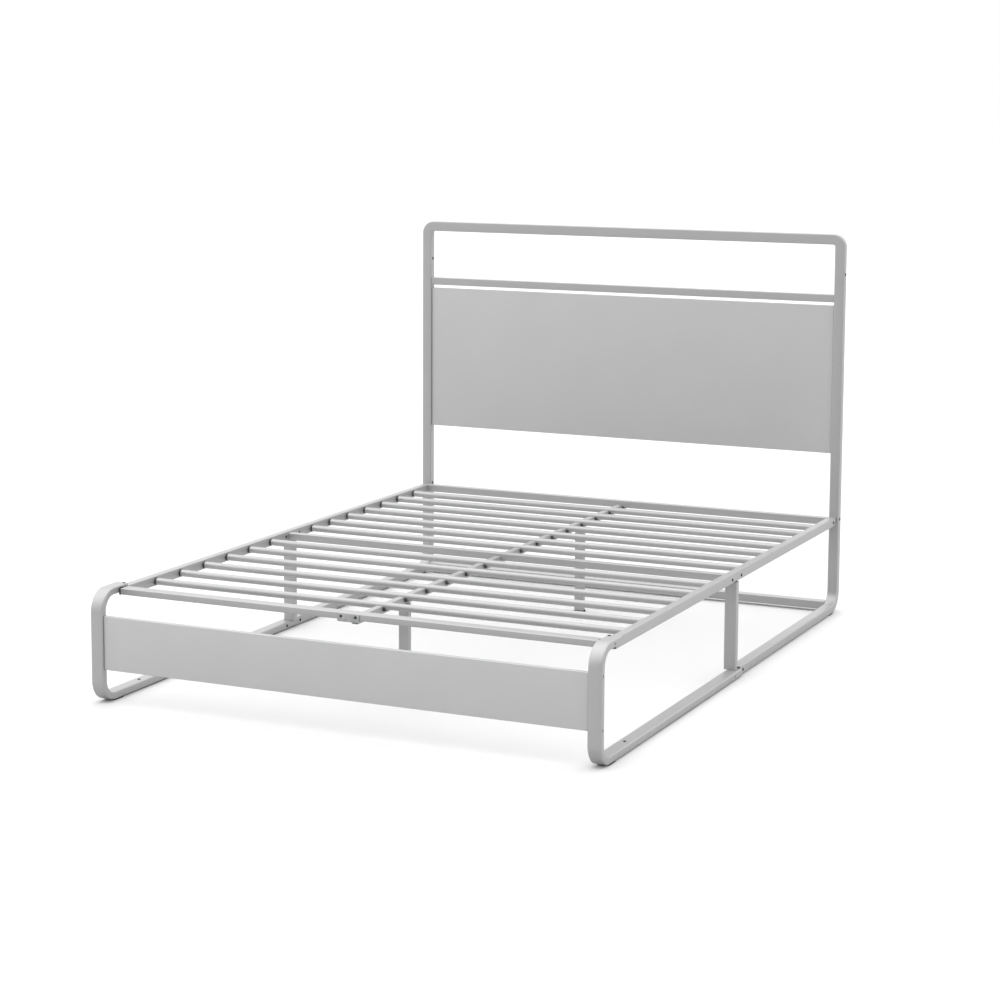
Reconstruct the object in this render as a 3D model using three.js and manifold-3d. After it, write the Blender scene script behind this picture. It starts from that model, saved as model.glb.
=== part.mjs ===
// A queen-size platform bed frame of bent steel tube, with sheet panels at the head and at the foot.
// Units are millimetres. +Z is up, the foot end faces -Y and the headboard stands at +Y.
// The origin is on the floor, in the middle of the frame.

import * as THREE from "three";
import { mergeVertices } from "three/addons/utils/BufferGeometryUtils.js";
import Module from "manifold-3d";

// ---- Overall sizes ----
const overallWidth = 1530;
const overallHeight = 1236;
const mattressSpace = 2040;
const fitGap = 0.3;
const slidingGap = 0.6;
const wall = 1.5;

// ---- Tube sections (width is across the bed, thick is along the bend's radius) ----
const loopTube = { width: 39, thick: 21, corner: 4 };
const legTube = { width: 33, thick: 26, corner: 3 };
const sideRail = { width: 24, height: 28, corner: 2 };
const centreRail = { width: 20, height: 22, corner: 2 };
const midCrossRail = { depth: 24, height: 22, corner: 2 };
const headCrossRail = { depth: 24, height: 24, corner: 2 };
const footCrossRail = { depth: 37, height: 18, corner: 2 };
const floorCrossRail = { depth: 33, height: 26, corner: 2 };
const upperRail = { depth: 20, height: 25, corner: 2 };
const midLeg = { width: 36, depth: 22, corner: 2 };
const centreLeg = { width: 30, depth: 20, corner: 2 };
const slat = { diameter: 20, wall: 1.2, sides: 16, boreSides: 12 };

// ---- Bends, measured on the outside of the tube ----
const loopBendRadius = 62;
const legBendRadius = 70;
const hoopBendRadius = 40;
const bendSteps = 8;
const cornerSteps = 2;

// ---- Heights above the floor ----
const padHeight = 3;
const loopTopHeight = 322;
const railTop = 314;
const footCrossRailTop = 315;
const slatTop = 309;
const centreRailTop = 300;
const floorCrossRailBottom = 9;
const hoopLegEnd = 1080;
const upperRailBottom = 1016;
const headPanel = { bottom: 522, top: 1005 };
const footPanel = { bottom: 99, top: 251 };

// ---- Positions along the bed, measured from the front face of the foot end ----
const loopStubEnd = 130;
const footCrossRailFront = 84;
const footPanelFront = 6;
const floorRailSplit = 1082;
const sideRailSplit = 1064;
const midLegFront = 1050;
const midCrossRailCentre = 1043;
const centreRailSplit = 1113;
const headCrossRailGap = 2;
const floorCrossRailFront = 2014;
const frontSlats = { first: 273, pitch: 130, count: 6 };
const rearSlats = { first: 1183, pitch: 120, count: 7 };
const centreLegCentres = { front: 415, rear: 1672 };

// ---- Sheet panels ----
const sheet = 1.2;
const headPanelFlange = 12;
const footPanelFlange = 12;
const headPanelSetBack = 5.5;

// ---- Joints ----
const tongueLength = 60;
const tongueRoot = 30;
const tongueCorner = 2.2;
const spigotLength = 30;
const deckSpigotLength = 12;
const spliceLength = 104;
const centreSpliceLength = 100;
const pegDiameter = 9;
const pegLength = 12;
const pegSides = 8;
const weldBite = 0.7;
const midLegInset = 8;
const bracket = { halfWidth: 33, sheet: 2, drop: 5, tongue: 40 };

// ---- Rubber pads ----
const floorPad = { length: 40, sideInset: 2 };
const floorPadSetBack = 62;
const centreFoot = { lip: 1.5, height: 5, boss: 10 };

// ---- Places derived from the sizes above ----
const overallLength = mattressSpace + legTube.thick;
const footFace = -overallLength / 2;
const headLegFront = footFace + mattressSpace;
const headLegMiddle = headLegFront + legTube.thick / 2;
const halfWidth = overallWidth / 2;
const innerFace = halfWidth - loopTube.width;
const loopCentreX = innerFace + loopTube.width / 2;
const legCentreX = innerFace + legTube.width / 2;
const railCentreX = innerFace + sideRail.width / 2;
const railBottom = railTop - sideRail.height;
const railMiddle = railTop - sideRail.height / 2;
const loopFloorMiddle = padHeight + loopTube.thick / 2;
const legFloorMiddle = padHeight + legTube.thick / 2;
const loopStubMiddle = loopTopHeight - loopTube.thick / 2;
const slatMiddle = slatTop - slat.diameter / 2;
const midCrossRailBottom = slatTop - midCrossRail.height;
const headCrossRailBottom = railTop - headCrossRail.height;
const centreRailMiddle = centreRailTop - centreRail.height / 2;
const centreRailBottom = centreRailTop - centreRail.height;
const floorCrossRailMiddle = floorCrossRailBottom + floorCrossRail.height / 2;
const footCrossRailRear = footCrossRailFront + footCrossRail.depth;

const wasm = await Module();
wasm.setup();

const powderCoat = { color: 0xb9bbbe, roughness: 0.42, metalness: 0.55 };
const zincInsert = { color: 0x9fa3a6, roughness: 0.35, metalness: 0.8 };
const blackRubber = { color: 0x17181a, roughness: 0.85, metalness: 0 };

const group = new THREE.Group();
group.name = "metal_bed_frame";

// ---- Small helpers ----

function fromFoot(distance) {
  return footFace + distance;
}

function roundedOutline(sizeA, sizeB, radius, steps) {
  const points = [];
  const centres = [[1, 1], [-1, 1], [-1, -1], [1, -1]];
  centres.forEach(([signA, signB], quarter) => {
    for (let step = 0; step <= steps; step += 1) {
      const angle = (quarter + step / steps) * Math.PI / 2;
      points.push(new THREE.Vector2(
        signA * (sizeA / 2 - radius) + radius * Math.cos(angle),
        signB * (sizeB / 2 - radius) + radius * Math.sin(angle),
      ));
    }
  });
  return points;
}

function squareOutline(sizeA, sizeB) {
  return [
    new THREE.Vector2(sizeA / 2, sizeB / 2),
    new THREE.Vector2(-sizeA / 2, sizeB / 2),
    new THREE.Vector2(-sizeA / 2, -sizeB / 2),
    new THREE.Vector2(sizeA / 2, -sizeB / 2),
  ];
}

function tubeSection(sizeA, sizeB, corner) {
  const section = new THREE.Shape(roundedOutline(sizeA, sizeB, corner, cornerSteps));
  section.holes.push(new THREE.Path(squareOutline(sizeA - 2 * wall, sizeB - 2 * wall)));
  return section;
}

function circleOutline(diameter, sides) {
  const points = [];
  for (let side = 0; side < sides; side += 1) {
    const angle = (side / sides) * 2 * Math.PI;
    points.push(new THREE.Vector2(diameter / 2 * Math.cos(angle), diameter / 2 * Math.sin(angle)));
  }
  return points;
}

const alongAxis = {
  x: [new THREE.Vector3(0, 1, 0), new THREE.Vector3(0, 0, 1), new THREE.Vector3(1, 0, 0)],
  y: [new THREE.Vector3(0, 0, 1), new THREE.Vector3(1, 0, 0), new THREE.Vector3(0, 1, 0)],
  z: [new THREE.Vector3(1, 0, 0), new THREE.Vector3(0, 1, 0), new THREE.Vector3(0, 0, 1)],
};

// Pushes a flat section along one axis and centres the result on a point.
function extrudeAlong(axis, section, length, centre) {
  const geometry = new THREE.ExtrudeGeometry(section, { depth: length, bevelEnabled: false });
  geometry.translate(0, 0, -length / 2);
  geometry.applyMatrix4(new THREE.Matrix4().makeBasis(...alongAxis[axis]));
  geometry.translate(centre.x, centre.y, centre.z);
  return geometry;
}

function tubeAlongX(tube, fromX, toX, y, z) {
  const section = tubeSection(tube.depth, tube.height, tube.corner);
  return extrudeAlong("x", section, Math.abs(toX - fromX), { x: (fromX + toX) / 2, y, z });
}

function tubeAlongY(tube, fromY, toY, x, z) {
  const section = tubeSection(tube.height, tube.width, tube.corner);
  return extrudeAlong("y", section, toY - fromY, { x, y: (fromY + toY) / 2, z });
}

function tubeAlongZ(tube, fromZ, toZ, x, y) {
  const section = tubeSection(tube.width, tube.depth, tube.corner);
  return extrudeAlong("z", section, toZ - fromZ, { x, y, z: (fromZ + toZ) / 2 });
}

// A solid block between two values on each axis, given in any order.
function block(xs, ys, zs) {
  const geometry = new THREE.BoxGeometry(
    Math.abs(xs[1] - xs[0]),
    Math.abs(ys[1] - ys[0]),
    Math.abs(zs[1] - zs[0]),
  );
  geometry.translate((xs[0] + xs[1]) / 2, (ys[0] + ys[1]) / 2, (zs[0] + zs[1]) / 2);
  return geometry;
}

function around(centre, size) {
  return [centre - size / 2, centre + size / 2];
}

// A centre line of straight runs and quarter bends, kept as a list of exact stations.
class BentLine extends THREE.Curve {
  constructor(start, heading, axis) {
    super();
    this.stations = [{ point: start.clone(), tangent: heading.clone() }];
    this.axis = axis;
  }

  straight(length) {
    const last = this.stations[this.stations.length - 1];
    const point = last.point.clone().addScaledVector(last.tangent, length);
    this.stations.push({ point, tangent: last.tangent.clone() });
    return this;
  }

  quarterBend(radius) {
    const last = this.stations[this.stations.length - 1];
    const inward = new THREE.Vector3().crossVectors(this.axis, last.tangent);
    const centre = last.point.clone().addScaledVector(inward, radius);
    for (let step = 1; step <= bendSteps; step += 1) {
      const angle = (step / bendSteps) * Math.PI / 2;
      const arm = inward.clone().multiplyScalar(-radius).applyAxisAngle(this.axis, angle);
      const tangent = last.tangent.clone().applyAxisAngle(this.axis, angle);
      this.stations.push({ point: centre.clone().add(arm), tangent });
    }
    return this;
  }

  stationAt(u) {
    return this.stations[Math.round(u * (this.stations.length - 1))];
  }

  getPoint(u) {
    return this.stationAt(u).point.clone();
  }

  getPointAt(u) {
    return this.getPoint(u);
  }

  getTangent(u) {
    return this.stationAt(u).tangent.clone();
  }

  getTangentAt(u) {
    return this.getTangent(u);
  }
}

function bentTube(line, tube) {
  const section = tubeSection(tube.thick, tube.width, tube.corner);
  return new THREE.ExtrudeGeometry(section, {
    steps: line.stations.length - 1,
    bevelEnabled: false,
    extrudePath: line,
  });
}

function toSolid(geometry) {
  const bare = geometry.clone();
  bare.deleteAttribute("normal");
  bare.deleteAttribute("uv");
  const merged = mergeVertices(bare);
  const vertProperties = new Float32Array(merged.attributes.position.array);
  const triVerts = new Uint32Array(merged.index.array);
  return new wasm.Manifold(new wasm.Mesh({ numProp: 3, vertProperties, triVerts }));
}

function toGeometry(solid) {
  const mesh = solid.getMesh();
  const geometry = new THREE.BufferGeometry();
  geometry.setAttribute("position", new THREE.BufferAttribute(new Float32Array(mesh.vertProperties), 3));
  geometry.setIndex(new THREE.BufferAttribute(new Uint32Array(mesh.triVerts), 1));
  const flat = geometry.toNonIndexed();
  flat.computeVertexNormals();
  return flat;
}

function weld(base, ...extras) {
  const solid = extras.reduce((sum, extra) => sum.add(toSolid(extra)), toSolid(base));
  return toGeometry(solid);
}

function cut(base, ...tools) {
  const solid = tools.reduce((rest, tool) => rest.subtract(toSolid(tool)), toSolid(base));
  return toGeometry(solid);
}

// Adds one named piece. Its geometry is moved to its own middle and the mesh is placed back.
function addPiece(name, geometry, finish) {
  geometry.computeBoundingBox();
  const middle = geometry.boundingBox.getCenter(new THREE.Vector3());
  geometry.translate(-middle.x, -middle.y, -middle.z);
  const mesh = new THREE.Mesh(geometry, new THREE.MeshStandardMaterial(finish));
  mesh.name = name;
  mesh.position.copy(middle);
  group.add(mesh);
}

// ---- Joint details welded to the tubes ----

// A block on the inner wall of a side tube, which a cross member slides over.
function innerSpigot(side, ys, zs) {
  return block([side * (innerFace + weldBite), side * (innerFace - spigotLength)], ys, zs);
}

// A round pin on a side rail's inner face, which the end of a hollow slat slides over.
function slatPeg(side, y) {
  const section = new THREE.Shape(circleOutline(pegDiameter, pegSides));
  const length = pegLength + weldBite;
  const x = side * (innerFace + weldBite - length / 2);
  return extrudeAlong("x", section, length, { x, y, z: slatMiddle });
}

// The room left for a joint inside a hollow of the given size.
function insideHollow(size) {
  return size - 2 * wall - 2 * slidingGap;
}

function slatPositions(slats) {
  return Array.from({ length: slats.count }, (_, index) => fromFoot(slats.first + index * slats.pitch));
}

// ---- Foot end ----

function footLoop(side) {
  const centreRadius = loopBendRadius - loopTube.thick / 2;
  const start = new THREE.Vector3(side * loopCentreX, fromFoot(loopStubEnd), loopStubMiddle);
  const line = new BentLine(start, new THREE.Vector3(0, -1, 0), new THREE.Vector3(1, 0, 0));
  line.straight(loopStubEnd - loopBendRadius);
  line.quarterBend(centreRadius);
  line.straight(loopTopHeight - padHeight - 2 * loopBendRadius);
  line.quarterBend(centreRadius);
  line.straight(floorRailSplit - loopBendRadius);
  const crossRailMiddle = fromFoot(footCrossRailFront + footCrossRail.depth / 2);
  const spigotBottom = Math.max(
    loopTopHeight - loopTube.thick + wall,
    footCrossRailTop - footCrossRail.height + wall + slidingGap,
  );
  const spigotTop = footCrossRailTop - wall - slidingGap;
  const crossRailSpigot = innerSpigot(
    side,
    around(crossRailMiddle, insideHollow(footCrossRail.depth)),
    [spigotBottom, spigotTop],
  );
  const midLegSpigot = block(
    around(side * midLegCentreX(), insideHollow(midLeg.width) - midLegInset * 2),
    around(midLegMiddle(), insideHollow(midLeg.depth)),
    [padHeight + loopTube.thick - weldBite, padHeight + loopTube.thick + spigotLength],
  );
  return weld(bentTube(line, loopTube), crossRailSpigot, midLegSpigot);
}

function footPanelSheet() {
  const half = innerFace - fitGap;
  return foldedPanel(half, fromFoot(footPanelFront), footPanelFlange, footPanel);
}

// A sheet folded back along all four edges, open at the rear.
function foldedPanel(half, front, flange, heights) {
  const outer = block([-half, half], [front, front + flange], [heights.bottom, heights.top]);
  const hollow = block(
    [-half + sheet, half - sheet],
    [front + sheet, front + flange + sheet],
    [heights.bottom + sheet, heights.top - sheet],
  );
  return cut(outer, hollow);
}

function footCrossRailTube() {
  const half = innerFace - fitGap;
  const y = fromFoot(footCrossRailFront + footCrossRail.depth / 2);
  return tubeAlongX(footCrossRail, -half, half, y, footCrossRailTop - footCrossRail.height / 2);
}

// An angle that hooks under the foot cross rail and reaches into the open end of the centre rail.
function centreBracket() {
  const plateRear = fromFoot(footCrossRailFront) - fitGap;
  const flangeTop = footCrossRailTop - footCrossRail.height - fitGap;
  const plateTop = footCrossRailTop - footCrossRail.corner;
  const plate = block(
    [-bracket.halfWidth, bracket.halfWidth],
    [plateRear - bracket.sheet, plateRear],
    [flangeTop - bracket.drop, plateTop],
  );
  const flange = block(
    [-bracket.halfWidth, bracket.halfWidth],
    [plateRear - bracket.sheet, fromFoot(footCrossRailRear)],
    [flangeTop - bracket.sheet, flangeTop],
  );
  const tongue = block(
    around(0, insideHollow(centreRail.width)),
    [plateRear, fromFoot(footCrossRailRear) + bracket.tongue],
    [flangeTop - bracket.sheet, flangeTop],
  );
  return weld(plate, flange, tongue);
}

// ---- Head end ----

function headLeg(side) {
  const centreRadius = legBendRadius - legTube.thick / 2;
  const legTop = hoopLegEnd - fitGap;
  const floorStart = fromFoot(floorRailSplit) + fitGap;
  const bendStart = headLegFront + legTube.thick - legBendRadius;
  const start = new THREE.Vector3(side * legCentreX, floorStart, legFloorMiddle);
  const line = new BentLine(start, new THREE.Vector3(0, 1, 0), new THREE.Vector3(1, 0, 0));
  line.straight(bendStart - floorStart);
  line.quarterBend(centreRadius);
  line.straight(legTop - padHeight - legBendRadius);
  return weld(
    bentTube(line, legTube),
    hoopTongue(side, legTop),
    hoopTongueRoot(side, legTop),
    floorTongue(side, floorStart),
    floorTongueRoot(side, floorStart),
    sideRailSpigot(side),
    floorCrossRailSpigot(side),
    upperRailSpigot(side),
  );
}

function hoopTongue(side, legTop) {
  const tongue = {
    width: insideHollow(legTube.width),
    depth: insideHollow(legTube.thick),
    corner: tongueCorner,
  };
  const x = side * legCentreX;
  return tubeAlongZ(tongue, legTop - tongueRoot, legTop + tongueLength, x, headLegMiddle);
}

// The lower part of the tongue is pressed out until it grips the tube it is fixed in.
function hoopTongueRoot(side, legTop) {
  const root = {
    width: legTube.width - 2 * wall + 2 * weldBite,
    depth: legTube.thick - 2 * wall + 2 * weldBite,
    corner: tongueCorner,
  };
  const x = side * legCentreX;
  return tubeAlongZ(root, legTop - tongueRoot, legTop - tongueRoot / 2, x, headLegMiddle);
}

function floorTongue(side, floorStart) {
  const tongue = {
    width: insideHollow(legTube.width),
    height: insideHollow(loopTube.thick),
    corner: tongueCorner,
  };
  const x = side * legCentreX;
  const start = floorStart - tongueLength;
  return tubeAlongY(tongue, start, floorStart + tongueRoot, x, loopFloorMiddle);
}

function floorTongueRoot(side, floorStart) {
  const width = insideHollow(legTube.width);
  const bottom = padHeight + wall - weldBite;
  const top = loopFloorMiddle - insideHollow(loopTube.thick) / 2 + wall;
  return block(
    around(side * legCentreX, width),
    [floorStart + fitGap, floorStart + tongueRoot],
    [bottom, top],
  );
}

// The side rail's open rear end slides over this block.
function sideRailSpigot(side) {
  return block(
    around(side * railCentreX, insideHollow(sideRail.width)),
    [headLegFront - tongueLength, headLegFront + weldBite],
    around(railMiddle, insideHollow(sideRail.height)),
  );
}

function floorCrossRailSpigot(side) {
  const middle = fromFoot(floorCrossRailFront + floorCrossRail.depth / 2);
  const front = middle - insideHollow(floorCrossRail.depth) / 2;
  return innerSpigot(
    side,
    [front, middle],
    around(floorCrossRailMiddle, insideHollow(floorCrossRail.height)),
  );
}

function upperRailSpigot(side) {
  return innerSpigot(
    side,
    around(headLegMiddle, insideHollow(upperRail.depth)),
    around(upperRailBottom + upperRail.height / 2, insideHollow(upperRail.height)),
  );
}

function headboardHoop() {
  const centreRadius = hoopBendRadius - legTube.width / 2;
  const run = overallHeight - hoopLegEnd - hoopBendRadius;
  const start = new THREE.Vector3(-legCentreX, headLegMiddle, hoopLegEnd);
  const line = new BentLine(start, new THREE.Vector3(0, 0, 1), new THREE.Vector3(0, 1, 0));
  line.straight(run);
  line.quarterBend(centreRadius);
  line.straight(2 * legCentreX - 2 * centreRadius);
  line.quarterBend(centreRadius);
  line.straight(run);
  return bentTube(line, { thick: legTube.thick, width: legTube.width, corner: legTube.corner });
}

function headboardPanel() {
  const half = innerFace - fitGap;
  return foldedPanel(half, headLegFront + headPanelSetBack, headPanelFlange, headPanel);
}

function headboardUpperRail() {
  const half = innerFace - fitGap;
  return tubeAlongX(upperRail, -half, half, headLegMiddle, upperRailBottom + upperRail.height / 2);
}

function floorCrossRailTube() {
  const half = innerFace - fitGap;
  const y = fromFoot(floorCrossRailFront + floorCrossRail.depth / 2);
  return tubeAlongX(floorCrossRail, -half, half, y, floorCrossRailMiddle);
}

// ---- Sides ----

function midLegCentreX() {
  return innerFace - midLegInset + midLeg.width / 2;
}

function midLegMiddle() {
  return fromFoot(midLegFront + midLeg.depth / 2);
}

function midLegTube(side) {
  const bottom = padHeight + loopTube.thick + fitGap;
  const top = railBottom - fitGap;
  return tubeAlongZ(midLeg, bottom, top, side * midLegCentreX(), midLegMiddle());
}

function frontSideRail(side) {
  const front = fromFoot(loopStubEnd) + fitGap;
  const rear = fromFoot(sideRailSplit);
  const rail = tubeAlongY(sideRail, front, rear, side * railCentreX, railMiddle);
  const tongueBottom = loopTopHeight - loopTube.thick + wall + slidingGap;
  const tongue = block(
    around(side * railCentreX, insideHollow(sideRail.width)),
    [front - tongueLength, front + tongueRoot],
    [tongueBottom, railTop - wall + weldBite],
  );
  const pegs = slatPositions(frontSlats).map((y) => slatPeg(side, y));
  return weld(rail, tongue, ...pegs, midCrossRailSpigot(side));
}

function rearSideRail(side) {
  const front = fromFoot(sideRailSplit) + fitGap;
  const rear = headLegFront - fitGap;
  const rail = tubeAlongY(sideRail, front, rear, side * railCentreX, railMiddle);
  const pegs = slatPositions(rearSlats).map((y) => slatPeg(side, y));
  return weld(rail, ...pegs, headCrossRailSpigot(side));
}

function sideRailSplice(side) {
  const section = {
    width: insideHollow(sideRail.width),
    height: insideHollow(sideRail.height),
    corner: tongueCorner,
  };
  const middle = fromFoot(sideRailSplit);
  const half = spliceLength / 2;
  return tubeAlongY(section, middle - half, middle + half, side * railCentreX, railMiddle);
}

// ---- Deck ----

// A block on a side rail's inner face, which the open end of a cross rail slides over.
function crossRailSpigot(side, middleY, depth, zs) {
  const xs = [side * (innerFace + weldBite), side * (innerFace - deckSpigotLength)];
  return block(xs, around(middleY, depth), zs);
}

function midCrossRailSpigot(side) {
  const middle = midCrossRailBottom + midCrossRail.height / 2;
  const heights = around(middle, insideHollow(midCrossRail.height));
  return crossRailSpigot(side, fromFoot(midCrossRailCentre), insideHollow(midCrossRail.depth), heights);
}

function headCrossRailMiddle() {
  return headLegFront - headCrossRailGap - headCrossRail.depth / 2;
}

function headCrossRailSpigot(side) {
  const middle = headCrossRailBottom + headCrossRail.height / 2;
  const heights = around(middle, insideHollow(headCrossRail.height));
  return crossRailSpigot(side, headCrossRailMiddle(), insideHollow(headCrossRail.depth), heights);
}

function midCrossRailTube() {
  const half = innerFace - fitGap;
  const z = midCrossRailBottom + midCrossRail.height / 2;
  return tubeAlongX(midCrossRail, -half, half, fromFoot(midCrossRailCentre), z);
}

function headCrossRailTube() {
  const half = innerFace - fitGap;
  const z = headCrossRailBottom + headCrossRail.height / 2;
  return tubeAlongX(headCrossRail, -half, half, headCrossRailMiddle(), z);
}

function slatTube(y) {
  const section = new THREE.Shape(circleOutline(slat.diameter, slat.sides));
  section.holes.push(new THREE.Path(circleOutline(slat.diameter - 2 * slat.wall, slat.boreSides)));
  return extrudeAlong("x", section, 2 * (innerFace - fitGap), { x: 0, y, z: slatMiddle });
}

// ---- Centre line ----

function centreLegSpigot(y) {
  return block(
    around(0, insideHollow(centreLeg.width)),
    around(y, insideHollow(centreLeg.depth)),
    [centreRailBottom - spigotLength, centreRailBottom + weldBite],
  );
}

// The round seat that a slat lies in, with a clearance all round.
function slatNotch(y) {
  const seat = (slat.diameter + 2 * fitGap) / Math.cos(Math.PI / slat.sides);
  const section = new THREE.Shape(circleOutline(seat, slat.sides));
  return extrudeAlong("x", section, 2 * centreRail.width, { x: 0, y, z: slatMiddle });
}

// The square seat that a cross rail lies in, open at the top.
function crossRailNotch(middleY, depth, bottom) {
  return block(
    around(0, 2 * centreRail.width),
    around(middleY, depth + 2 * fitGap),
    [bottom - fitGap, centreRailTop + centreRail.height],
  );
}

function frontCentreRail() {
  const front = fromFoot(footCrossRailRear) + fitGap;
  const rail = tubeAlongY(centreRail, front, fromFoot(centreRailSplit), 0, centreRailMiddle);
  const notched = cut(
    rail,
    ...slatPositions(frontSlats).map((y) => slatNotch(y)),
    crossRailNotch(fromFoot(midCrossRailCentre), midCrossRail.depth, midCrossRailBottom),
  );
  return weld(notched, centreLegSpigot(fromFoot(centreLegCentres.front)));
}

function rearCentreRail() {
  const front = fromFoot(centreRailSplit) + fitGap;
  const rear = headLegFront - headCrossRailGap;
  const rail = tubeAlongY(centreRail, front, rear, 0, centreRailMiddle);
  const notched = cut(
    rail,
    ...slatPositions(rearSlats).map((y) => slatNotch(y)),
    crossRailNotch(headCrossRailMiddle(), headCrossRail.depth, headCrossRailBottom),
  );
  return weld(notched, centreLegSpigot(fromFoot(centreLegCentres.rear)));
}

function centreRailSplice() {
  const section = {
    width: insideHollow(centreRail.width),
    height: insideHollow(centreRail.height),
    corner: tongueCorner,
  };
  const middle = fromFoot(centreRailSplit);
  const half = centreSpliceLength / 2;
  return tubeAlongY(section, middle - half, middle + half, 0, centreRailMiddle);
}

function centreLegTube(distance) {
  const bottom = centreFoot.height + fitGap;
  return tubeAlongZ(centreLeg, bottom, centreRailBottom - fitGap, 0, fromFoot(distance));
}

// A rubber foot: a flat base with a boss that pushes into the hollow leg.
function centreLegPad(distance) {
  const y = fromFoot(distance);
  const base = block(
    around(0, centreLeg.width + 2 * centreFoot.lip),
    around(y, centreLeg.depth + 2 * centreFoot.lip),
    [0, centreFoot.height],
  );
  const boss = block(
    around(0, insideHollow(centreLeg.width)),
    around(y, insideHollow(centreLeg.depth)),
    [centreFoot.height - weldBite, centreFoot.height + centreFoot.boss],
  );
  return weld(base, boss);
}

function floorPadBlock(side, tube, centreX, front) {
  return block(
    around(side * centreX, tube.width - 2 * floorPad.sideInset),
    [front, front + floorPad.length],
    [0, padHeight - fitGap],
  );
}

// ---- Assembly ----

const sides = [
  { name: "left", sign: -1 },
  { name: "right", sign: 1 },
];

for (const { name, sign } of sides) {
  addPiece(`foot_loop_${name}`, footLoop(sign), powderCoat);
  addPiece(`head_leg_${name}`, headLeg(sign), powderCoat);
  addPiece(`side_rail_front_${name}`, frontSideRail(sign), powderCoat);
  addPiece(`side_rail_rear_${name}`, rearSideRail(sign), powderCoat);
  addPiece(`side_rail_splice_${name}`, sideRailSplice(sign), zincInsert);
  addPiece(`mid_leg_${name}`, midLegTube(sign), powderCoat);
  const frontPadStart = fromFoot(floorPadSetBack);
  const rearPadStart = headLegFront + legTube.thick - floorPadSetBack - floorPad.length;
  addPiece(`floor_pad_front_${name}`, floorPadBlock(sign, loopTube, loopCentreX, frontPadStart), blackRubber);
  addPiece(`floor_pad_rear_${name}`, floorPadBlock(sign, legTube, legCentreX, rearPadStart), blackRubber);
}

[...slatPositions(frontSlats), ...slatPositions(rearSlats)].forEach((y, index) => {
  const number = String(index + 1).padStart(2, "0");
  addPiece(`slat_${number}`, slatTube(y), powderCoat);
});

addPiece("foot_cross_rail", footCrossRailTube(), powderCoat);
addPiece("mid_cross_rail", midCrossRailTube(), powderCoat);
addPiece("head_cross_rail", headCrossRailTube(), powderCoat);
addPiece("foot_panel", footPanelSheet(), powderCoat);
addPiece("headboard_hoop", headboardHoop(), powderCoat);
addPiece("headboard_upper_rail", headboardUpperRail(), powderCoat);
addPiece("headboard_panel", headboardPanel(), powderCoat);
addPiece("floor_cross_rail_head", floorCrossRailTube(), powderCoat);
addPiece("centre_rail_front", frontCentreRail(), powderCoat);
addPiece("centre_rail_rear", rearCentreRail(), powderCoat);
addPiece("centre_rail_splice", centreRailSplice(), zincInsert);
addPiece("centre_bracket", centreBracket(), zincInsert);
addPiece("centre_leg_front", centreLegTube(centreLegCentres.front), powderCoat);
addPiece("centre_leg_rear", centreLegTube(centreLegCentres.rear), powderCoat);
addPiece("centre_leg_pad_front", centreLegPad(centreLegCentres.front), blackRubber);
addPiece("centre_leg_pad_rear", centreLegPad(centreLegCentres.rear), blackRubber);

export default group;
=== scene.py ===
"""A queen-size bed frame of bent steel tube: the visible surfaces, finishes, lights and camera."""

import math

import bmesh
import bpy
from mathutils import Matrix, Quaternion, Vector


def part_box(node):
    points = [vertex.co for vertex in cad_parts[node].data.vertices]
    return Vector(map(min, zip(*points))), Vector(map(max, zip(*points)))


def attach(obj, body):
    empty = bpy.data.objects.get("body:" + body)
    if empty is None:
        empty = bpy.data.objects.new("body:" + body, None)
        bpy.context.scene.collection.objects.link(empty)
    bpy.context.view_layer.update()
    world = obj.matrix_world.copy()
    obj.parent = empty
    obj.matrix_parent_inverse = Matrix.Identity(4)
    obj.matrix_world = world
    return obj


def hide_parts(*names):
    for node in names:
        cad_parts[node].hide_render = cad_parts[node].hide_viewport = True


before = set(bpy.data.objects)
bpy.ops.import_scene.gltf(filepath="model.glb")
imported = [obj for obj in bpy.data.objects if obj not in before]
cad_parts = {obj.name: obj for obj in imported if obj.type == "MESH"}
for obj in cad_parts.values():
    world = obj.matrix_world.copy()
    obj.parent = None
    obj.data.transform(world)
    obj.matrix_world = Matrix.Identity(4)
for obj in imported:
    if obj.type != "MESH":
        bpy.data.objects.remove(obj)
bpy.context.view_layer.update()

# ---- Sizes in metres, the same as the solids' ----
MM = 0.001
FOOT_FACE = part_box("foot_loop_left")[0].y
OUTER_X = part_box("foot_loop_right")[1].x
LOOP_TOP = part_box("foot_loop_right")[1].z
RAIL_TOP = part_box("side_rail_front_right")[1].z
HEAD_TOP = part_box("headboard_hoop")[1].z
HEAD_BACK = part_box("headboard_hoop")[1].y
HOOP_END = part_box("headboard_hoop")[0].z
LOOP_WIDTH, LOOP_THICK, LOOP_CORNER, LOOP_BEND = 0.039, 0.021, 0.004, 0.062
LEG_WIDTH, LEG_THICK, LEG_CORNER, LEG_BEND = 0.033, 0.026, 0.003, 0.070
HOOP_BEND = 0.040
WALL = 1.5 * MM
GAP = 0.3 * MM
PAD_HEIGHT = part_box("foot_loop_left")[0].z
STUB_END = FOOT_FACE + 0.130
FLOOR_SPLIT = FOOT_FACE + 1.082
SIDE_SPLIT = FOOT_FACE + 1.064
INNER_X = OUTER_X - LOOP_WIDTH
LEG_X = INNER_X + LEG_WIDTH / 2
LOOP_X = INNER_X + LOOP_WIDTH / 2
HEAD_FRONT = HEAD_BACK - LEG_THICK
HEAD_MIDDLE = HEAD_BACK - LEG_THICK / 2
RAIL_WIDTH, RAIL_HEIGHT, RAIL_CORNER = 0.024, 0.028, 0.0022
CENTRE_RAIL_WIDTH = 0.020
SLAT_RADIUS = 0.010
SLAT_WALL = 1.2 * MM
SHEET = 1.2 * MM
SHEET_FOLD_RADIUS = 2.2 * MM

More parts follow.
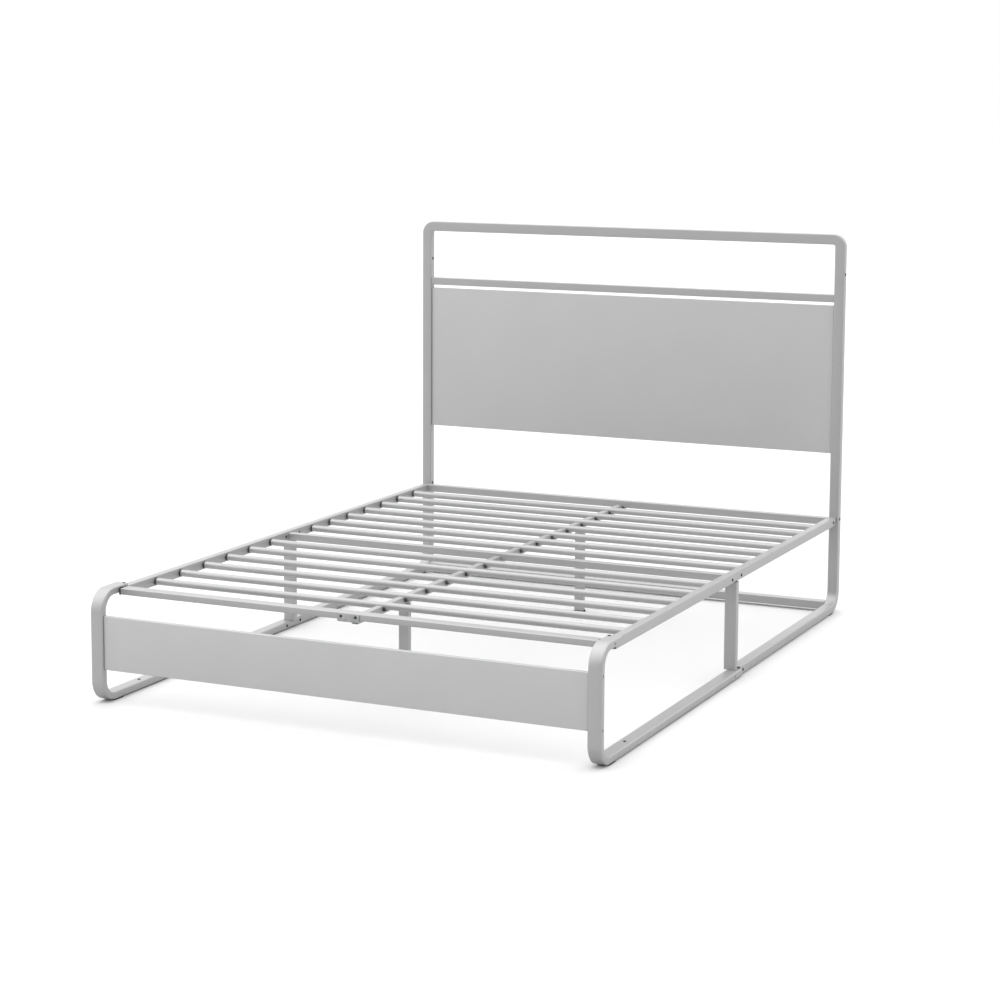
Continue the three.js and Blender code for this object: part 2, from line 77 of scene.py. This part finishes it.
# ---- Sizes that only the visible pieces have ----
TUBE_RIM, SLAT_RIM, CLIP_RIM = 0.3 * MM, 0.2 * MM, 0.5 * MM
COLLAR_RADIUS, COLLAR_LENGTH, COLLAR_EDGE = 0.0107, 0.006, 1.2 * MM
CAP_WALL, CAP_CORNER = 0.8 * MM, 2.4 * MM
CLIP_DEPTH, CLIP_REACH, CLIP_CORNER = 0.024, 0.006, 2.0 * MM
CLIP_LOW, CLIP_HIGH = 0.2855, 0.2962
SCREW_RADIUS, SCREW_HEIGHT = 0.0046, 0.0022
BRACKET_SCREW_RADIUS = 0.0042
SOCKET_SHARE = 0.46
SCREW_SINK, WIDEST_FACE_SINK = 0.3 * MM, 1.9 * MM
SOFT_EDGE = 0.6 * MM

# ---- Fineness of the meshes ----
BEND_STEPS = 28
CORNER_STEPS = 6
SLAT_STEPS = 40
COLLAR_STEPS = 32
SCREW_STEPS = 24
FOLD_STEPS = 5
SMOOTH_LIMIT = math.radians(38)
EDGE_LIMIT = math.radians(50)

# ---- Studio ----
FLOOR_SIZE = 60.0
BACKDROP_TONE = 1.0
STUDIO_GAIN = 1.44
FLOOR_TONE = 0.72
FLOOR_BOUNCE = 0.54
FLOOR_MOTTLE = 0.003

# ---- Finishes ----


def new_material(name, colour, metallic, roughness):
    material = bpy.data.materials.new(name)
    material.use_nodes = True
    nodes = material.node_tree.nodes
    shader = nodes["Principled BSDF"]
    shader.inputs["Base Color"].default_value = (*colour, 1)
    shader.inputs["Metallic"].default_value = metallic
    shader.inputs["Roughness"].default_value = roughness
    return material, nodes, material.node_tree.links, shader


def noise_node(nodes, links, scale, detail):
    coordinates = nodes.new("ShaderNodeTexCoord")
    noise = nodes.new("ShaderNodeTexNoise")
    noise.inputs["Scale"].default_value = scale
    noise.inputs["Detail"].default_value = detail
    links.new(coordinates.outputs["Object"], noise.inputs["Vector"])
    return noise.outputs["Fac"]


def span(nodes, links, factor, low, high, start=0.0, end=1.0):
    ranged = nodes.new("ShaderNodeMapRange")
    ranged.inputs["From Min"].default_value = start
    ranged.inputs["From Max"].default_value = end
    ranged.inputs["To Min"].default_value = low
    ranged.inputs["To Max"].default_value = high
    links.new(factor, ranged.inputs["Value"])
    return ranged.outputs["Result"]


def ramp(nodes, links, factor, stops):
    node = nodes.new("ShaderNodeValToRGB")
    elements = node.color_ramp.elements
    for element, (place, colour) in zip(elements, (stops[0], stops[-1])):
        element.position = place
        element.color = (*colour, 1)
    for place, colour in stops[1:-1]:
        element = elements.new(place)
        element.color = (*colour, 1)
    links.new(factor, node.inputs["Fac"])
    return node.outputs["Color"]


def powder_coat(name, grey, metallic, roughness):
    """Satin metallic powder coat: orange-peel texture, fine flake and a slow drift in tone."""
    material, nodes, links, shader = new_material(name, (grey, grey, grey), metallic, roughness)
    flake_share = 0.45
    gloss_spread = 0.05
    drift = noise_node(nodes, links, scale=5.0, detail=3.0)
    flake = noise_node(nodes, links, scale=1600.0, detail=1.0)
    mixed = nodes.new("ShaderNodeMath")
    mixed.operation = "MULTIPLY_ADD"
    mixed.inputs[1].default_value = flake_share
    links.new(flake, mixed.inputs[0])
    scaled = span(nodes, links, drift, 0.0, 1.0 - flake_share)
    links.new(scaled, mixed.inputs[2])
    tones = ((0.0, (grey * 0.93, grey * 0.935, grey * 0.94)),
             (0.5, (grey, grey, grey * 1.003)),
             (1.0, (grey * 1.07, grey * 1.07, grey * 1.07)))
    links.new(ramp(nodes, links, mixed.outputs[0], tones), shader.inputs["Base Color"])
    cloud = noise_node(nodes, links, scale=38.0, detail=4.0)
    gloss = span(nodes, links, cloud, roughness - gloss_spread, roughness + gloss_spread)
    links.new(gloss, shader.inputs["Roughness"])
    peel = noise_node(nodes, links, scale=420.0, detail=2.0)
    bump = nodes.new("ShaderNodeBump")
    bump.inputs["Strength"].default_value = 0.22
    bump.inputs["Distance"].default_value = 0.12 * MM
    links.new(peel, bump.inputs["Height"])
    links.new(bump.outputs["Normal"], shader.inputs["Normal"])
    return material


def mottled_finish(name, dark, light, metallic, rough, grain_scale, grain_depth):
    """A base finish with mottled tone, uneven gloss and a fine surface grain."""
    material, nodes, links, shader = new_material(name, dark, metallic, rough)
    gloss_spread = 0.08
    mottle = noise_node(nodes, links, scale=70.0, detail=4.0)
    links.new(ramp(nodes, links, mottle, ((0.3, dark), (0.7, light))), shader.inputs["Base Color"])
    gloss = span(nodes, links, mottle, rough - gloss_spread, rough + gloss_spread)
    links.new(gloss, shader.inputs["Roughness"])
    grain = noise_node(nodes, links, scale=grain_scale, detail=3.0)
    bump = nodes.new("ShaderNodeBump")
    bump.inputs["Strength"].default_value = 0.35
    bump.inputs["Distance"].default_value = grain_depth
    links.new(grain, bump.inputs["Height"])
    links.new(bump.outputs["Normal"], shader.inputs["Normal"])
    return material


TUBE_COAT = powder_coat("silver_coat_tube", grey=0.425, metallic=0.45, roughness=0.38)
SHEET_COAT = powder_coat("silver_coat_sheet", grey=0.51, metallic=0.15, roughness=0.50)
ZINC = mottled_finish(
    "zinc_plate", dark=(0.34, 0.345, 0.35), light=(0.5, 0.5, 0.49),
    metallic=0.9, rough=0.36, grain_scale=900.0, grain_depth=0.05 * MM)
SCREW_STEEL = mottled_finish(
    "black_oxide_steel", dark=(0.02, 0.02, 0.021), light=(0.05, 0.05, 0.05),
    metallic=0.7, rough=0.38, grain_scale=1200.0, grain_depth=0.04 * MM)
RUBBER = mottled_finish(
    "black_rubber", dark=(0.011, 0.011, 0.012), light=(0.022, 0.022, 0.022),
    metallic=0.0, rough=0.82, grain_scale=700.0, grain_depth=0.12 * MM)
PLASTIC = mottled_finish(
    "black_plastic", dark=(0.045, 0.045, 0.046), light=(0.065, 0.065, 0.066),
    metallic=0.0, rough=0.48, grain_scale=900.0, grain_depth=0.06 * MM)

# ---- Mesh building ----


def rounded_outline(size_a, size_b, radius, steps=CORNER_STEPS):
    points = []
    for quarter, (sign_a, sign_b) in enumerate(((1, 1), (-1, 1), (-1, -1), (1, -1))):
        for step in range(steps + 1):
            angle = (quarter + step / steps) * math.pi / 2
            points.append((sign_a * (size_a / 2 - radius) + radius * math.cos(angle),
                           sign_b * (size_b / 2 - radius) + radius * math.sin(angle)))
    return points


def circle_outline(radius, steps=SLAT_STEPS):
    return [(radius * math.cos(2 * math.pi * step / steps), radius * math.sin(2 * math.pi * step / steps))
            for step in range(steps)]


class Line:
    """A centre line of straight runs and quarter bends, with a section frame at every station."""

    def __init__(self, start, heading, axis):
        self.axis = Vector(axis)
        self.stations = [(Vector(start), Vector(heading))]

    def straight(self, length):
        point, heading = self.stations[-1]
        self.stations.append((point + heading * length, heading.copy()))
        return self

    def bend(self, radius):
        point, heading = self.stations[-1]
        inward = self.axis.cross(heading)
        centre = point + inward * radius
        for step in range(1, BEND_STEPS + 1):
            turn = Quaternion(self.axis, step / BEND_STEPS * math.pi / 2)
            self.stations.append((centre + turn @ (-inward * radius), turn @ heading))
        return self

    def frames(self):
        """(point, direction of the section's first size, direction of its second size)."""
        return [(point, self.axis.cross(heading), self.axis) for point, heading in self.stations]


def straight_frames(axis, start, end, other):
    """The two stations of a straight tube. other is the pair of middle values on the other axes."""
    order = {"x": (1, 2), "y": (2, 0), "z": (0, 1)}[axis]
    along = "xyz".index(axis)
    frames = []
    for value in (start, end):
        point = Vector((0, 0, 0))
        point[along] = value
        point[order[0]] = other[0]
        point[order[1]] = other[1]
        first = Vector((0, 0, 0))
        second = Vector((0, 0, 0))
        first[order[0]] = 1
        second[order[1]] = 1
        frames.append((point, first, second))
    return frames


def ring(mesh, station, outline):
    point, first, second = station
    return [mesh.verts.new(point + first * a + second * b) for a, b in outline]


def wall_faces(mesh, rings):
    for low, high in zip(rings, rings[1:]):
        count = len(low)
        for index in range(count):
            after = (index + 1) % count
            mesh.faces.new((low[index], low[after], high[after], high[index]))


def sweep(stations, outer, inner=None):
    """Pushes a section along its stations. With an inner outline it is an open-ended tube."""
    mesh = bmesh.new()
    outer_rings = [ring(mesh, station, outer) for station in stations]
    wall_faces(mesh, outer_rings)
    if inner is None:
        mesh.faces.new(outer_rings[0])
        mesh.faces.new(outer_rings[-1])
    else:
        inner_rings = [ring(mesh, station, inner) for station in stations]
        wall_faces(mesh, inner_rings)
        for end in (0, -1):
            count = len(outer)
            for index in range(count):
                after = (index + 1) % count
                mesh.faces.new((outer_rings[end][index], outer_rings[end][after],
                                inner_rings[end][after], inner_rings[end][index]))
    bmesh.ops.recalc_face_normals(mesh, faces=mesh.faces)
    return mesh


def tube_sections(size_a, size_b, corner):
    least_corner = 0.4 * MM
    outer = rounded_outline(size_a, size_b, corner)
    inner_corner = max(corner - WALL, least_corner)
    inner = rounded_outline(size_a - 2 * WALL, size_b - 2 * WALL, inner_corner)
    return outer, inner


def finish_piece(name, mesh, material, nodes=(), rim=0.0):
    data = bpy.data.meshes.new(name)
    mesh.to_mesh(data)
    mesh.free()
    piece = bpy.data.objects.new(name, data)
    bpy.context.scene.collection.objects.link(piece)
    data.materials.append(material)
    for polygon in data.polygons:
        polygon.use_smooth = True
    data.set_sharp_from_angle(angle=SMOOTH_LIMIT)
    if rim:
        bevel = piece.modifiers.new("rim", "BEVEL")
        bevel.width = rim
        bevel.segments = 2
        bevel.limit_method = "ANGLE"
        bevel.angle_limit = EDGE_LIMIT
        bevel.harden_normals = True
    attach(piece, "root")
    if nodes:
        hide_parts(*nodes)
    return piece


def tube_piece(name, stations, size_a, size_b, corner, node):
    outer, inner = tube_sections(size_a, size_b, corner)
    mesh = sweep(stations, outer, inner)
    return finish_piece(name, mesh, TUBE_COAT, [node], rim=TUBE_RIM)


# ---- Bent tubes ----

for side_name, side in (("left", -1), ("right", 1)):
    loop = Line((side * LOOP_X, STUB_END, LOOP_TOP - LOOP_THICK / 2), (0, -1, 0), (1, 0, 0))
    loop.straight(STUB_END - FOOT_FACE - LOOP_BEND)
    loop.bend(LOOP_BEND - LOOP_THICK / 2)
    loop.straight(LOOP_TOP - PAD_HEIGHT - 2 * LOOP_BEND)
    loop.bend(LOOP_BEND - LOOP_THICK / 2)
    loop.straight(FLOOR_SPLIT - FOOT_FACE - LOOP_BEND)
    tube_piece(f"loop_{side_name}", loop.frames(), LOOP_THICK, LOOP_WIDTH, LOOP_CORNER,
               f"foot_loop_{side_name}")

    leg = Line((side * LEG_X, FLOOR_SPLIT + GAP, PAD_HEIGHT + LEG_THICK / 2), (0, 1, 0), (1, 0, 0))
    leg.straight(HEAD_BACK - LEG_BEND - FLOOR_SPLIT - GAP)
    leg.bend(LEG_BEND - LEG_THICK / 2)
    leg.straight(HOOP_END - GAP - PAD_HEIGHT - LEG_BEND)
    tube_piece(f"rear_leg_{side_name}", leg.frames(), LEG_THICK, LEG_WIDTH, LEG_CORNER,
               f"head_leg_{side_name}")

hoop = Line((-LEG_X, HEAD_MIDDLE, HOOP_END), (0, 0, 1), (0, 1, 0))
hoop.straight(HEAD_TOP - HOOP_END - HOOP_BEND)
hoop.bend(HOOP_BEND - LEG_WIDTH / 2)
hoop.straight(2 * LEG_X - 2 * (HOOP_BEND - LEG_WIDTH / 2))
hoop.bend(HOOP_BEND - LEG_WIDTH / 2)
hoop.straight(HEAD_TOP - HOOP_END - HOOP_BEND)
tube_piece("hoop", hoop.frames(), LEG_WIDTH, LEG_THICK, LEG_CORNER, "headboard_hoop")

# ---- Straight tubes, each as large as its solid ----


def straight_piece(node, axis, corner, size=None, ends=None, place=None):
    """A finer tube in the place of a CAD tube. What pegs or tongues widen is given in the call."""
    low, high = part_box(node)
    middle = (low + high) / 2
    first, second = {"x": (1, 2), "y": (2, 0), "z": (0, 1)}[axis]
    along = "xyz".index(axis)
    start, end = ends or (low[along], high[along])
    size_a, size_b = size or (high[first] - low[first], high[second] - low[second])
    stations = straight_frames(axis, start, end, place or (middle[first], middle[second]))
    return tube_piece(f"{node}_tube", stations, size_a, size_b, corner, node)


for side_name, side in (("left", -1), ("right", 1)):
    rail_place = (RAIL_TOP - RAIL_HEIGHT / 2, side * (INNER_X + RAIL_WIDTH / 2))
    rail_size = (RAIL_HEIGHT, RAIL_WIDTH)
    straight_piece(f"side_rail_front_{side_name}", "y", RAIL_CORNER, rail_size,
                   (STUB_END + GAP, SIDE_SPLIT), rail_place)
    straight_piece(f"side_rail_rear_{side_name}", "y", RAIL_CORNER, rail_size,
                   (SIDE_SPLIT + GAP, HEAD_FRONT - GAP), rail_place)
    straight_piece(f"mid_leg_{side_name}", "z", RAIL_CORNER)

for node in ("foot_cross_rail", "mid_cross_rail", "head_cross_rail", "floor_cross_rail_head",
             "headboard_upper_rail"):
    straight_piece(node, "x", RAIL_CORNER)
straight_piece("centre_leg_front", "z", RAIL_CORNER)
straight_piece("centre_leg_rear", "z", RAIL_CORNER)

slat_nodes = sorted(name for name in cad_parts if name.startswith("slat_"))
for node in slat_nodes:
    low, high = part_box(node)
    middle = (low + high) / 2
    stations = straight_frames("x", low.x, high.x, (middle.y, middle.z))
    mesh = sweep(stations, circle_outline(SLAT_RADIUS), circle_outline(SLAT_RADIUS - SLAT_WALL))
    finish_piece(f"{node}_tube", mesh, TUBE_COAT, [node], rim=SLAT_RIM)

# ---- Folded sheet panels ----


def folded_panel(node):
    """A sheet folded back along its four edges, with a small radius at each fold."""
    low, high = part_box(node)
    mesh = bmesh.new()
    front = [mesh.verts.new((x, low.y, z)) for x, z in
             ((low.x, low.z), (high.x, low.z), (high.x, high.z), (low.x, high.z))]
    back = [mesh.verts.new((v.co.x, high.y, v.co.z)) for v in front]
    mesh.faces.new(front)
    for index in range(4):
        after = (index + 1) % 4
        mesh.faces.new((front[after], front[index], back[index], back[after]))
    bmesh.ops.recalc_face_normals(mesh, faces=mesh.faces)
    if mesh.faces[0].normal.y > 0:
        bmesh.ops.reverse_faces(mesh, faces=mesh.faces)
    folds = [edge for edge in mesh.edges if len(edge.link_faces) == 2]
    bmesh.ops.bevel(mesh, geom=folds, offset=SHEET_FOLD_RADIUS, segments=FOLD_STEPS, profile=0.5,
                    affect="EDGES")
    piece = finish_piece(f"{node}_sheet", mesh, SHEET_COAT, [node])
    thick = piece.modifiers.new("thickness", "SOLIDIFY")
    thick.thickness = SHEET
    thick.offset = -1
    return piece


folded_panel("headboard_panel")
folded_panel("foot_panel")

# ---- Plastic collars at the slats' ends, caps of the foot cross rail, clips on the centre rail ----


def collar_mesh(profile_at, length, outward, start):
    """A moulded sleeve along X, with softened ends. profile_at gives its outline at an inset."""
    edge = COLLAR_EDGE
    part = edge * 0.3
    stops = ((0.0, -edge), (part, -part), (edge, 0.0),
             (length - edge, 0.0), (length - part, -part), (length, -edge))
    mesh = bmesh.new()
    rings = []
    for distance, inset in stops:
        outline, place = profile_at(inset)
        x = start + outward * distance
        rings.append([mesh.verts.new((x, place[0] + a, place[1] + b)) for a, b in outline])
    wall_faces(mesh, rings)
    mesh.faces.new(rings[0])
    mesh.faces.new(rings[-1])
    bmesh.ops.recalc_face_normals(mesh, faces=mesh.faces)
    return mesh


for node in slat_nodes:
    low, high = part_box(node)
    middle = (low + high) / 2

    def round_profile(inset):
        return circle_outline(COLLAR_RADIUS + inset, COLLAR_STEPS), (middle.y, middle.z)

    for end, start, outward in (("a", low.x, 1), ("b", high.x, -1)):
        mesh = collar_mesh(round_profile, COLLAR_LENGTH, outward, start)
        finish_piece(f"{node}_collar_{end}", mesh, PLASTIC)

low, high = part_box("foot_cross_rail")
rail_middle = (low + high) / 2
for end, start, outward in (("left", low.x, 1), ("right", high.x, -1)):

    def flat_profile(inset):
        size_y = high.y - low.y + 2 * CAP_WALL + 2 * inset
        size_z = high.z - low.z + 2 * CAP_WALL + 2 * inset
        return rounded_outline(size_y, size_z, CAP_CORNER), (rail_middle.y, rail_middle.z)

    mesh = collar_mesh(flat_profile, COLLAR_LENGTH, outward, start)
    finish_piece(f"foot_cross_rail_cap_{end}", mesh, PLASTIC)

clip_outline = rounded_outline(CLIP_DEPTH, CLIP_HIGH - CLIP_LOW, CLIP_CORNER)
for node in slat_nodes + ["head_cross_rail"]:
    low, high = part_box(node)
    place = ((low.y + high.y) / 2, (CLIP_LOW + CLIP_HIGH) / 2)
    for end, side in (("left", -1), ("right", 1)):
        start = side * CENTRE_RAIL_WIDTH / 2
        mesh = sweep(straight_frames("x", start, start + side * CLIP_REACH, place), clip_outline)
        finish_piece(f"{node}_clip_{end}", mesh, PLASTIC, rim=CLIP_RIM)

# ---- Screws: low button heads with a six-sided socket ----


def screw_ring(mesh, reach_at, level):
    """One ring of the head. reach_at gives the distance from the axis at an angle."""
    ring_verts = []
    for step in range(SCREW_STEPS):
        angle = 2 * math.pi * step / SCREW_STEPS
        reach = reach_at(angle)
        ring_verts.append(mesh.verts.new((reach * math.cos(angle), reach * math.sin(angle), level)))
    return ring_verts


def screw(name, place, normal, radius=SCREW_RADIUS):
    head_profile = ((1.0, 0.0), (1.0, 0.25), (0.92, 0.6), (0.74, 0.88), (0.55, 1.0))
    socket_levels = (1.0, -0.1)
    sixth = math.pi / 3
    flat = radius * SOCKET_SHARE * math.cos(sixth / 2)
    mesh = bmesh.new()
    rings = [screw_ring(mesh, lambda angle: radius * share, SCREW_HEIGHT * level)
             for share, level in head_profile]
    rings += [screw_ring(mesh, lambda angle: flat / math.cos(angle % sixth - sixth / 2), SCREW_HEIGHT * level)
              for level in socket_levels]
    wall_faces(mesh, rings)
    mesh.faces.new(rings[0])
    mesh.faces.new(rings[-1])
    bmesh.ops.recalc_face_normals(mesh, faces=mesh.faces)
    turn = Vector(normal).to_track_quat("Z", "Y").to_matrix().to_4x4()
    bmesh.ops.transform(mesh, matrix=Matrix.Translation(Vector(place)) @ turn, verts=mesh.verts)
    return finish_piece(name, mesh, SCREW_STEEL)


# Each screw's label, its face, its distance from the foot face and its height above the floor.
SIDE_SCREWS = (
    ("foot_panel_low", "loop_outer", 0.010, 0.104),
    ("foot_panel_high", "loop_outer", 0.010, 0.244),
    ("foot_cross_side", "loop_outer", 0.088, 0.311),
    ("floor_rail_front", "loop_outer", 1.020, 0.0135),
    ("floor_rail_rear", "leg_outer", 1.105, 0.016),
    ("floor_rail_front_in", "inner", 1.020, 0.0135),
    ("floor_rail_rear_in", "inner", 1.105, 0.016),
    ("side_splice_front", "rail_outer", 1.025, 0.297),
    ("side_splice_rear", "rail_outer", 1.103, 0.297),
    ("side_splice_front_in", "inner", 1.018, 0.299),
    ("side_splice_rear_in", "inner", 1.103, 0.299),
    ("side_rail_end", "rail_outer", 2.012, 0.300),
    ("leg_side", "leg_outer", 2.053, 0.306),
    ("leg_inner", "inner", 2.053, 0.316),
    ("hoop_outer", "leg_outer", 2.053, 1.107),
    ("hoop_inner", "inner", 2.053, 1.107),
)
FACES = {
    "loop_outer": OUTER_X,
    "leg_outer": INNER_X + LEG_WIDTH,
    "rail_outer": INNER_X + RAIL_WIDTH,
    "inner": INNER_X,
}
CROSS_RAIL_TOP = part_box("foot_cross_rail")[1].z
# Each upright screw's label, its distance from the bed's centre line, from the foot face and its height.
TOP_SCREWS = (
    ("foot_cross_top", INNER_X + 0.008, 0.122, LOOP_TOP),
    ("foot_rail_top", INNER_X - 0.004, 0.092, CROSS_RAIL_TOP + CAP_WALL),
    ("floor_rail_top", LOOP_X, 0.208, PAD_HEIGHT + LOOP_THICK),
)

for side_name, side in (("left", -1), ("right", 1)):
    for label, face, distance, height in SIDE_SCREWS:
        outward = -side if face == "inner" else side
        sink = WIDEST_FACE_SINK if face == "loop_outer" else SCREW_SINK
        place = (side * FACES[face] - outward * sink, FOOT_FACE + distance, height)
        screw(f"screw_{label}_{side_name}", place, (outward, 0, 0))
    for label, x, distance, height in TOP_SCREWS:
        place = (side * x, FOOT_FACE + distance, height - SCREW_SINK)
        screw(f"screw_{label}_{side_name}", place, (0, 0, 1))

BRACKET_SCREW_X, BRACKET_SCREW_Z = 0.022, 0.306
bracket_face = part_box("centre_bracket")[0].y + 0.2 * MM
for label, side in (("left", -1), ("right", 1)):
    screw(f"screw_bracket_{label}", (side * BRACKET_SCREW_X, bracket_face, BRACKET_SCREW_Z), (0, -1, 0),
          radius=BRACKET_SCREW_RADIUS)

# ---- Solids that stay as they are, with their own finishes ----


def dress(node, material):
    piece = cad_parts[node]
    piece.data.materials.clear()
    piece.data.materials.append(material)
    bevel = piece.modifiers.new("soft_edges", "BEVEL")
    bevel.width = SOFT_EDGE
    bevel.segments = 3
    bevel.limit_method = "ANGLE"
    bevel.angle_limit = EDGE_LIMIT


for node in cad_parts:
    if "pad" in node:
        dress(node, RUBBER)
    elif "splice" in node or node == "centre_bracket":
        dress(node, ZINC)
    elif node.startswith("centre_rail_"):
        dress(node, TUBE_COAT)

# ---- Floor, lights and camera ----

floor_mesh = bmesh.new()
corners = [floor_mesh.verts.new((x * FLOOR_SIZE, y * FLOOR_SIZE, 0)) for x, y in
           ((-1, -1), (1, -1), (1, 1), (-1, 1))]
floor_mesh.faces.new(corners)
floor_data = bpy.data.meshes.new("studio_floor")
floor_mesh.to_mesh(floor_data)
floor_mesh.free()
floor = bpy.data.objects.new("studio_floor", floor_data)
bpy.context.scene.collection.objects.link(floor)
floor_paint, floor_nodes, floor_links, floor_shader = new_material(
    "floor_paint", (FLOOR_TONE,) * 3, metallic=0.0, roughness=0.9)
floor_noise = noise_node(floor_nodes, floor_links, scale=0.6, detail=2.0)
floor_seen = ramp(floor_nodes, floor_links, floor_noise,
                  ((0.0, (FLOOR_TONE - FLOOR_MOTTLE,) * 3), (1.0, (FLOOR_TONE + FLOOR_MOTTLE,) * 3)))
# The floor is shown lighter than it lights the bed, as in a studio picture with a cut-out backdrop.
floor_path = floor_nodes.new("ShaderNodeLightPath")
floor_choice = floor_nodes.new("ShaderNodeMix")
floor_choice.data_type = "RGBA"
# A mix node's sockets by number: 0 is the factor, 6 and 7 the two colours, and output 2 their mix.
floor_choice.inputs[6].default_value = (FLOOR_BOUNCE, FLOOR_BOUNCE, FLOOR_BOUNCE, 1)
floor_links.new(floor_path.outputs["Is Camera Ray"], floor_choice.inputs[0])
floor_links.new(floor_seen, floor_choice.inputs[7])
floor_links.new(floor_choice.outputs[2], floor_shader.inputs["Base Color"])
floor_data.materials.append(floor_paint)

world = bpy.data.worlds.new("studio")
world.use_nodes = True
world_nodes = world.node_tree.nodes
world_links = world.node_tree.links
direction = world_nodes.new("ShaderNodeTexCoord").outputs["Generated"]


def lobe(towards, start, end, low, high):
    """The studio's strength: low away from one direction, high towards it. start and end are the
    cosines between which it changes."""
    dot = world_nodes.new("ShaderNodeVectorMath")
    dot.operation = "DOT_PRODUCT"
    dot.inputs[1].default_value = Vector(towards).normalized()
    world_links.new(direction, dot.inputs[0])
    return span(world_nodes, world_links, dot.outputs["Value"], low, high, start, end)


def times(first, second):
    product = world_nodes.new("ShaderNodeMath")
    product.operation = "MULTIPLY"
    world_links.new(first, product.inputs[0])
    world_links.new(second, product.inputs[1])
    return product.outputs[0]


overhead = lobe((0, 0, 1), start=0.0, end=1.0, low=0.62 * STUDIO_GAIN, high=1.35 * STUDIO_GAIN)
camera_side_shade = lobe((0.35, -0.94, 0.0), start=0.35, end=0.98, low=1.0, high=0.30)
left_softbox_glow = lobe((-0.93, -0.35, 0.25), start=0.45, end=0.98, low=1.0, high=1.55)
right_softbox_glow = lobe((0.95, 0.25, 0.15), start=0.50, end=0.98, low=1.0, high=1.22)
side_glow = times(left_softbox_glow, right_softbox_glow)
lighting = world_nodes["Background"]
world_links.new(times(times(overhead, camera_side_shade), side_glow), lighting.inputs["Strength"])
lighting.inputs["Color"].default_value = (1, 1, 1, 1)
backdrop = world_nodes.new("ShaderNodeBackground")
backdrop.inputs["Color"].default_value = (1, 1, 1, 1)
backdrop.inputs["Strength"].default_value = BACKDROP_TONE
path = world_nodes.new("ShaderNodeLightPath")
choose = world_nodes.new("ShaderNodeMixShader")
world_links.new(path.outputs["Is Camera Ray"], choose.inputs["Fac"])
world_links.new(lighting.outputs["Background"], choose.inputs[1])
world_links.new(backdrop.outputs["Background"], choose.inputs[2])
world_links.new(choose.outputs["Shader"], world_nodes["World Output"].inputs["Surface"])
bpy.context.scene.world = world


def soft_light(name, place, target, size, power):
    data = bpy.data.lights.new(name, "AREA")
    data.shape = "RECTANGLE"
    data.size, data.size_y = size
    data.energy = power
    light = bpy.data.objects.new(name, data)
    light.location = place
    light.rotation_mode = "QUATERNION"
    light.rotation_quaternion = (Vector(target) - Vector(place)).to_track_quat("-Z", "Y")
    bpy.context.scene.collection.objects.link(light)


soft_light("top_softbox", place=(-0.8, -0.4, 4.6), target=(0, 0.1, 0), size=(3.4, 3.4), power=18)

SENSOR_WIDTH = 36.0
CAMERA_PLACE = Vector((2.99515, -5.45808 + FOOT_FACE, 1.73357))
CAMERA_RIGHT = Vector((0.90792764, 0.41909771, 0.00494986))
CAMERA_UP = Vector((-0.05841978, 0.11484753, 0.99166384))
CAMERA_BACK = Vector((0.41503557, -0.90064818, 0.12875684))
FOCAL_IN_WIDTHS = 2.409138
CAMERA_SHIFT = -0.1101
camera_data = bpy.data.cameras.new("camera")
camera_data.sensor_width = SENSOR_WIDTH
camera_data.lens = SENSOR_WIDTH * FOCAL_IN_WIDTHS
camera_data.shift_y = CAMERA_SHIFT
camera = bpy.data.objects.new("camera", camera_data)
pose = Matrix((CAMERA_RIGHT, CAMERA_UP, CAMERA_BACK)).transposed().to_4x4()
pose.translation = CAMERA_PLACE
camera.matrix_world = pose
bpy.context.scene.collection.objects.link(camera)
bpy.context.scene.camera = camera
bpy.context.scene.view_settings.view_transform = "Standard"
